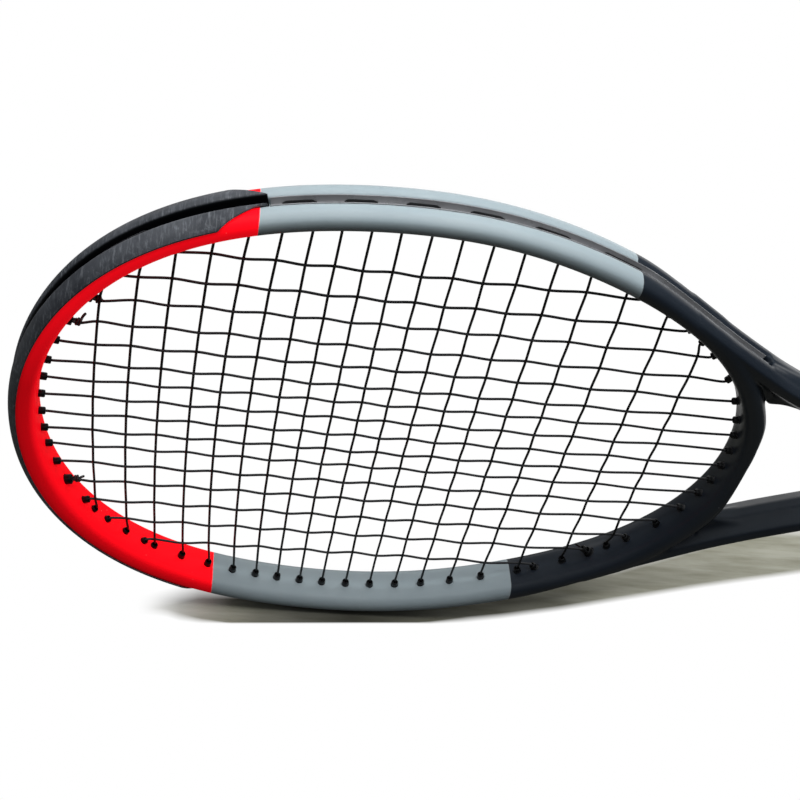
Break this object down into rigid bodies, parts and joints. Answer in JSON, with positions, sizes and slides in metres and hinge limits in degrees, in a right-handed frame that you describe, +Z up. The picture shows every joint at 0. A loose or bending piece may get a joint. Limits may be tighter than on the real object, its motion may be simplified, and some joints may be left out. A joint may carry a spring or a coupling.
{
  "type": "tennis racket",
  "caption": "Open-throat racket with a moulded hoop, woven strings through plastic grommet strips, a tip bumper, and an octagonal wrapped handle with a flared butt cap.",
  "frame": {"origin": "centre of the butt's end face, where the racket's length is measured from", "axes": "+X along the racket from the tip of the head to the butt, +Z up in the plane of the strings, Y across the beam, square to the strings"},
  "size_m": [0.6858, 0.0376, 0.2714],
  "materials": {
    "frame_paint": "satin paint in three bands: red at the tip, blue-grey at the sides, near-black at the throat",
    "nylon": "moulded nylon, scuffed on the bumper",
    "string": "smooth monofilament with a soft shine",
    "foam": "rigid moulded foam",
    "cap_plastic": "fine moulded texture",
    "grip": "cushioned synthetic grip, matt and slightly tacky",
    "tape": "thin finishing tape",
    "rubber": "matt soft rubber",
    "steel": "bright wire"
  },
  "bodies": {
    "racket": {"frame": "frame_paint", "bumper_guard": "nylon", "grommet_strip_upper": "nylon", "grommet_strip_lower": "nylon", "throat_grommet_strip": "nylon", "main_string": "string", "cross_string": "string", "handle_pallet": "foam", "butt_cap": "cap_plastic", "butt_cap_staple_top": "steel", "butt_cap_staple_bottom": "steel", "grip_wrap": "grip", "grip_tack": "steel", "grip_finishing_tape": "tape"},
    "trapdoor": {"butt_cap_trapdoor": "cap_plastic"},
    "collar": {"grip_collar": "rubber"}
  },
  "joints": [
    {"name": "trapdoor_pull", "type": "slide", "parent": "racket", "child": "trapdoor", "axis": [1, 0, 0], "range_m": [0, 0.015]},
    {"name": "collar_slide", "type": "slide", "parent": "racket", "child": "collar", "axis": [-1, 0, 0], "range_m": [0, 0.01]}
  ]
}
